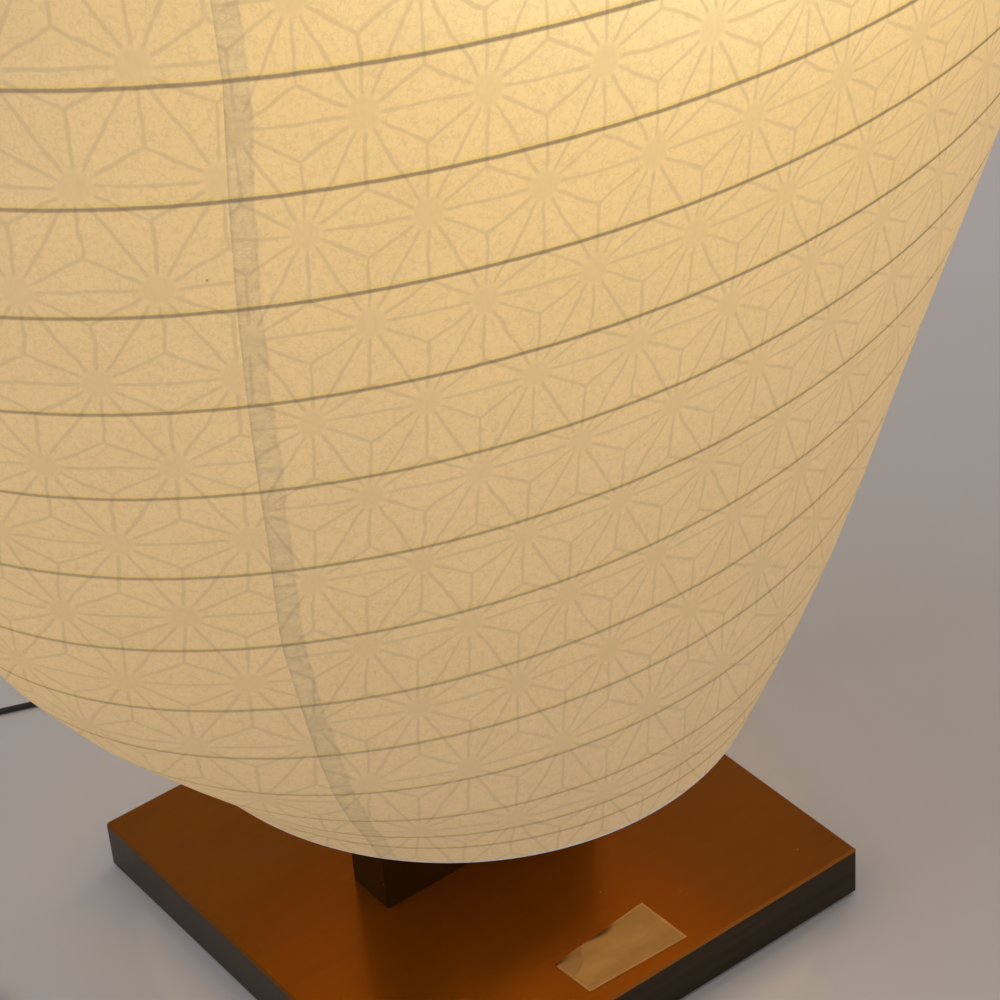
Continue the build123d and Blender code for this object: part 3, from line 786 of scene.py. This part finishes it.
def harp_wire(sides=16):
    """One round wire, bent up, in over two shoulders, across the top and down again."""
    crown_half = 0.014
    shoulder = 0.024
    bend = 0.0075
    low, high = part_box("harp_bow")
    radius = (high.y - low.y) / 2
    leg = high.x - radius
    apex = high.z - radius
    corners = [(-leg, low.z), (-leg, apex - shoulder), (-crown_half, apex)]
    corners += [(crown_half, apex), (leg, apex - shoulder), (leg, low.z)]
    bow = rounded(corners, bend, 10)
    back = Vector((0, 1, 0))
    points = []
    for count, (x, z) in enumerate(bow):
        ahead = Vector(bow[min(count + 1, len(bow) - 1)]) - Vector(bow[max(count - 1, 0)])
        side = Vector((ahead.x, 0.0, ahead.y)).normalized().cross(back)
        spot = Vector((x, 0.0, z))
        points += [spot + (side * math.cos(t) + back * math.sin(t)) * radius for t in angles(sides)]
    faces = skin(len(bow), sides) + caps(len(bow), sides)
    return sharpen(piece_from("harp_wire", points, faces), 60)


put(harp_wire(), "base", white_steel, ("harp_bow",))

# ---- Lampholder ----

low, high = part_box("lampholder_body")
outer_radius = high.x
groove_radius = outer_radius - 0.0007
socket_radius = 0.0143
floor_z = low.z + 0.010
holder = [(0.0051, low.z), (0.016, low.z), (outer_radius, floor_z), (outer_radius, high.z - 0.016)]
for k in range(5):
    z = high.z - 0.0145 + 0.0028 * k
    holder += [(outer_radius, z - 0.0008), (groove_radius, z - 0.0004)]
    holder += [(groove_radius, z + 0.0004), (outer_radius, z + 0.0008)]
holder += [(outer_radius, high.z), (socket_radius, high.z), (socket_radius, floor_z), (0.0051, floor_z)]
put(lathe("ribbed_lampholder", holder, around=72), "base", bakelite, ("lampholder_body",))

low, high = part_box("lampholder_shell")
shell = [(0.0133, low.z), (0.0142, low.z), (0.0142, high.z), (0.0133, high.z)]
put(lathe("brass_shell", shell, around=72), "base", brass, ("lampholder_shell",))

low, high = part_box("centre_contact")
tongue = [(0.0, low.z), (0.008, low.z), (0.008, low.z + 0.0012), (0.004, low.z + 0.0018)]
tongue += [(0.0035, high.z - 0.0001), (0.0, high.z - 0.0001)]
put(lathe("contact_tongue", tongue, around=48), "base", brass, ("centre_contact",))

# ---- Bulb ----

low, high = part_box("bulb_contact")
tip = [(0.0, low.z), (0.002, low.z), (0.0035, low.z + 0.0008), (0.004, high.z), (0.0, high.z)]
put(lathe("solder_tip", tip, around=40), "bulb", bulb_metal, ("bulb_contact",))

low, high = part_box("bulb_insulator")
skirt = [(0.0, low.z), (0.005, low.z), (0.008, low.z + 0.0012), (0.0105, high.z), (0.0, high.z)]
put(lathe("bulb_glass_skirt", skirt, around=48), "bulb", bakelite, ("bulb_insulator",))


def bulb_cap(around=48, turns=7.4, steps=12):
    """The cap with its round thread, as levels of points whose reach winds up like a helix."""
    crest = 0.01305
    depth = 0.00077
    margin = 0.001
    fade_height = 0.002
    low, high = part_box("bulb_screw_cap")
    rise = high.z - low.z
    levels = int(steps * turns) + 1
    points = []
    for k in range(levels):
        z = low.z + rise * k / (levels - 1)
        from_ends = min(z - low.z - margin, high.z - margin - z)
        fade = min(1.0, max(0.0, from_ends / fade_height))
        for c, t in enumerate(angles(around)):
            wave = math.cos(2 * math.pi * ((z - low.z) * turns / rise - c / around))
            reach = crest - depth * fade * (1 - wave) / 2
            if z < low.z + fade_height:
                reach = min(reach, 0.0111 + (z - low.z))
            points.append(Vector((reach * math.cos(t), reach * math.sin(t), z)))
    faces = skin(levels, around) + caps(levels, around)
    return piece_from("threaded_bulb_cap", points, faces)


put(bulb_cap(), "bulb", bulb_metal, ("bulb_screw_cap",))

low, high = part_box("bulb_housing")
neck_steps = [
    (0.0, 0.0), (0.0127, 0.0), (0.0127, 0.009), (0.0140, 0.0115), (0.0165, 0.016),
    (0.0201, 0.0215), (0.0240, 0.0278), (0.0270, 0.0330), (0.0289, 0.0375),
]
neck = [(x, low.z + y) for x, y in neck_steps]
neck += [(0.0299, high.z - 0.001), (0.0296, high.z), (0.0, high.z)]
put(lathe("bulb_body", neck, around=72), "bulb", bulb_plastic, ("bulb_housing",))

low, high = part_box("bulb_globe")
tall = high.z - low.z
globe_radius = 0.03
dome = [(0.0, low.z), (0.0294, low.z), (0.0299, low.z + 0.0008), (globe_radius, low.z + 0.10 * tall)]
for k in range(1, 15):
    t = math.radians(6 * k)
    dome.append((globe_radius * math.cos(t), low.z + tall * (0.12 + 0.88 * math.sin(t))))
dome.append((0.0, low.z + tall))
put(lathe("opal_globe", dome, around=72), "bulb", globe_lit, ("bulb_globe",))

# ---- CAD nodes that keep their own shape ----

kept = {
    "base_board": lacquer, "post_slab": lacquer, "foot_pad_front_left": felt, "foot_pad_front_right": felt,
    "foot_pad_back_left": felt, "foot_pad_back_right": felt, "post_screws": steel, "plate_screws": steel,
    "holder_plate": steel, "threaded_nipple": steel, "inner_lead": cord_skin,
    "switch_base": black_plastic, "switch_cover": black_plastic, "switch_rocker": black_plastic,
    "plug_blades": plated,
}
for name, material in kept.items():
    slots = nodes_of[name].material_slots
    if not slots:
        nodes_of[name].data.materials.append(material)
    for each in slots:
        each.material = material

# ---- Clear film label on the board, left blank ----


def film_label(wide=92, deep=48):
    """The film as a grid of points just off the board, each with its distance from the film's edge."""
    board_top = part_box("base_board")[1].z
    least_lift = 0.00012
    more_lift = 0.00022
    left_far = Vector((-0.0218, -0.0771))
    right_far = Vector((0.0239, -0.0732))
    right_near = Vector((0.0246, -0.0986))
    left_near = Vector((-0.0207, -0.0969))
    width = (right_far - left_far).length
    depth = (right_near - right_far).length
    points = []
    borders = []
    for j in range(deep + 1):
        v = j / deep
        for i in range(wide + 1):
            u = i / wide
            far = left_far * (1 - u) + right_far * u
            near = left_near * (1 - u) + right_near * u
            spot = far * (1 - v) + near * v
            rough = 0.5 + 0.5 * noise.noise(Vector((spot.x * 90, spot.y * 160, 0.3)))
            points.append(Vector((spot.x, spot.y, board_top + least_lift + more_lift * rough)))
            borders.append(min(min(u, 1 - u) * width, min(v, 1 - v) * depth))
    made = piece_from("clear_film_label", points, skin(deep + 1, wide + 1, closed=False))
    made.data.attributes.new("border", "FLOAT", "POINT").data.foreach_set("value", borders)
    return made


put(film_label(), "base", film)

# ---- Cord ----

thick = 0.0026
to_switch = [
    (0.0, 0.121, 0.005), (0.0, 0.130, 0.005), (-0.0006, 0.146, 0.0022), (-0.0035, 0.161, 0.00135),
    (-0.012, 0.180, 0.00135), (-0.034, 0.1985, 0.00135), (-0.062, 0.2083, 0.00135),
    (-0.103, 0.2252, 0.00135), (-0.132, 0.233, 0.00135), (-0.154, 0.229, 0.00135),
    (-0.167519, 0.216651, 0.003), (-0.170, 0.208, 0.003),
]
to_coil = [(-0.185987, 0.152247, 0.003), (-0.188192, 0.144557, 0.003), (-0.196, 0.133, 0.0032)]
to_plug = [(-0.197, 0.113, 0.0074), (-0.197, 0.103, 0.007), (-0.197, 0.090, 0.007)]
coil_x = -0.212
coil_y = 0.118
coil_radius = 0.0150
turn_apart = 0.00265
layer_apart = 0.0030
lowest_layer = 0.0008 + thick / 2
# the coil's cross-section: five turns wide, three layers high, in the order in which they are wound
wound = [
    (2, 0), (3, 0), (4, 0), (4, 1), (4, 2), (3, 2), (3, 1), (2, 1),
    (1, 1), (1, 0), (0, 0), (0, 1), (0, 2), (1, 2), (2, 2),
]


def coil_points(per_turn=24, shift_from=0.75):
    """Points along the coil; in the last part of each turn the cord moves over to the next one."""
    cells = [(coil_radius + (c - 2) * turn_apart, lowest_layer + layer * layer_apart) for c, layer in wound]
    points = []
    for k, (radius, z) in enumerate(cells):
        next_radius, next_z = cells[min(k + 1, len(cells) - 1)]
        for c in range(per_turn):
            share = c / per_turn
            t = max(0.0, (share - shift_from) / (1 - shift_from))
            t = t * t * (3 - 2 * t)
            r = radius + (next_radius - radius) * t
            bearing = -2 * math.pi * share
            here = (coil_x + r * math.cos(bearing), coil_y + r * math.sin(bearing), z + (next_z - z) * t)
            points.append(here)
    return points


def cord_curve(route):
    """A round cord along a route."""
    curve = bpy.data.curves.new("mains_cord", "CURVE")
    curve.dimensions = "3D"
    spline = curve.splines.new("NURBS")
    spline.points.add(len(route) - 1)
    for point, place in zip(spline.points, route):
        point.co = (*place, 1.0)
    spline.order_u = 3
    spline.use_endpoint_u = True
    curve.resolution_u = 6
    curve.bevel_depth = thick / 2
    curve.bevel_resolution = 3
    made = bpy.data.objects.new("mains_cord", curve)
    scene.collection.objects.link(made)
    return made


cord = cord_curve([*to_switch, *to_coil, *coil_points()[1:], *to_plug])
put(cord, "base", cord_skin, ("cord_to_switch", "cord_to_coil", "cord_to_plug", "cord_coil"))

# ---- Plug, cord sleeve and rubber tie ----


def moulded_plug(power=3.2, around=40):
    """A ribbed grip that widens into a block: (distance, width share, height share) of rounded sections."""
    low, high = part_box("plug_body")
    back_end = Vector(((low.x + high.x) / 2, high.y, (low.z + high.z) / 2))
    axis = Vector((0, -1, 0))
    side = Vector((1, 0, 0))
    sections = [(0.0, 0.22, 0.36), (0.001, 0.26, 0.42)]
    for k in range(4):
        far = 0.0015 + 0.0022 * k
        width = 0.30 + 0.07 * k
        crest = 0.44 + 0.08 * k
        groove = 0.40 + 0.08 * k
        sections += [(far, width, crest), (far + 0.0012, width, crest)]
        sections += [(far + 0.0013, width - 0.04, groove), (far + 0.0021, width - 0.03, groove)]
    sections += [(0.0115, 0.78, 0.84), (0.0135, 0.95, 0.97), (0.016, 1.0, 1.0)]
    sections += [(0.0285, 1.0, 1.0), (0.0298, 0.97, 0.95), (0.030, 0.93, 0.9)]
    points = []
    for far, width, height in sections:
        for t in angles(around):
            c = math.cos(t)
            s = math.sin(t)
            x = math.copysign(abs(c) ** (2 / power), c) * (high.x - low.x) / 2 * width
            y = math.copysign(abs(s) ** (2 / power), s) * (high.z - low.z) / 2 * height
            points.append(back_end + axis * far + side * x + Vector((0, 0, y)))
    faces = skin(len(sections), around) + caps(len(sections), around)
    return sharpen(piece_from("moulded_plug", points, faces), 50)


plug = put(moulded_plug(), "base", black_plastic, ("plug_body",))

low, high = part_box("cord_sleeve")
ribs_from = 0.0105
ribbed = [(0.0, 0.0), (0.0034, 0.0), (0.0034, ribs_from)]
for k in range(5):
    far = ribs_from + 0.0029 * k
    crest = 0.0033 - 0.00022 * k
    groove = 0.0025 - 0.00016 * k
    ribbed += [(crest, far + 0.0004), (crest, far + 0.0018), (groove, far + 0.0021), (groove, far + 0.0029)]
ribbed += [(0.0019, 0.0259), (0.0, 0.026)]
lay = Matrix.Translation((0.0, low.y, (low.z + high.z) / 2)) @ Matrix.Rotation(-math.pi / 2, 4, "X")
sleeve = lathe("ribbed_cord_sleeve", ribbed, around=36, place=lay)
put(sleeve, "base", rubber, ("cord_sleeve",))


def rubber_tie():
    """A flat band round the coil's bundle."""
    band = 0.0008
    low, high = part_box("cord_tie")
    middle_x = (low.x + high.x) / 2
    middle_z = (low.z + high.z) / 2
    outer = rounded([(low.x, low.z), (high.x, low.z), (high.x, high.z), (low.x, high.z)], 0.003, 5, True)
    inner = [(x + math.copysign(band, middle_x - x), z + math.copysign(band, middle_z - z)) for x, z in outer]
    points = [Vector((x, y, z)) for y in (low.y, high.y) for loop in (outer, inner) for x, z in loop]
    n = len(outer)
    faces = []
    for k in range(n):
        after = (k + 1) % n
        for one, other in ((0, 2), (1, 3), (0, 1), (2, 3)):
            faces.append((one * n + k, one * n + after, other * n + after, other * n + k))
    return sharpen(piece_from("rubber_tie", points, faces), 60)


tie = put(rubber_tie(), "base", rubber, ("cord_tie",))

# ---- Floor and light ----

floor_mesh = bpy.data.meshes.new("floor")
floor_mesh.from_pydata([(-6, -6, 0), (6, -6, 0), (6, 6, 0), (-6, 6, 0)], [], [(0, 1, 2, 3)])
floor = bpy.data.objects.new("floor", floor_mesh)
scene.collection.objects.link(floor)
ground = Shader("floor_paint")
cloud = ground.noise(2.2, 3.0)
fine = ground.noise(180.0, 3.0)
tone = ground.mix(ground.step(cloud, 0.3, 0.7), rgb(0.57, 0.555, 0.56), rgb(0.61, 0.595, 0.60))
rough = ground.ramp(fine, 0.3, 0.7, 0.5, 0.6)
ground.surface(Base_Color=tone, Roughness=rough, Normal=ground.bump(fine, 0.00005))
floor_mesh.materials.append(ground.mat)

world = bpy.data.worlds.new("studio")
scene.world = world
world.use_nodes = True
background = world.node_tree.nodes["Background"]
background.inputs["Color"].default_value = (0.93, 0.95, 1.0, 1.0)
background.inputs["Strength"].default_value = 0.32


def soft_light(name, place, aim, size, power, colour):
    """A square area light that looks at a point."""
    data = bpy.data.lights.new(name, "AREA")
    data.shape = "SQUARE"
    data.size = size
    data.energy = power
    data.color = colour
    made = bpy.data.objects.new(name, data)
    made.location = place
    made.rotation_euler = (Vector(aim) - Vector(place)).to_track_quat("-Z", "Y").to_euler()
    scene.collection.objects.link(made)


soft_light("key", (-2.4, 0.6, 2.6), (0, 0, 0.3), 2.2, 26.0, (0.96, 0.97, 1.0))
soft_light("fill", (1.8, -2.6, 2.2), (0, 0, 0.3), 2.4, 13.5, (1.0, 0.90, 0.78))
soft_light("side", (2.3, 0.5, 1.5), (0.2, 0, 0), 1.6, 14.0, (1.0, 0.80, 0.60))
bulb_light = bpy.data.lights.new("bulb_light", "POINT")
bulb_light.energy = 2.6
bulb_light.color = (1.0, 0.76, 0.46)
bulb_light.shadow_soft_size = 0.025
bulb_place = bpy.data.objects.new("bulb_light", bulb_light)
bulb_place.location = (0, 0, 0.465)
scene.collection.objects.link(bulb_place)
scene.view_settings.view_transform = "Standard"
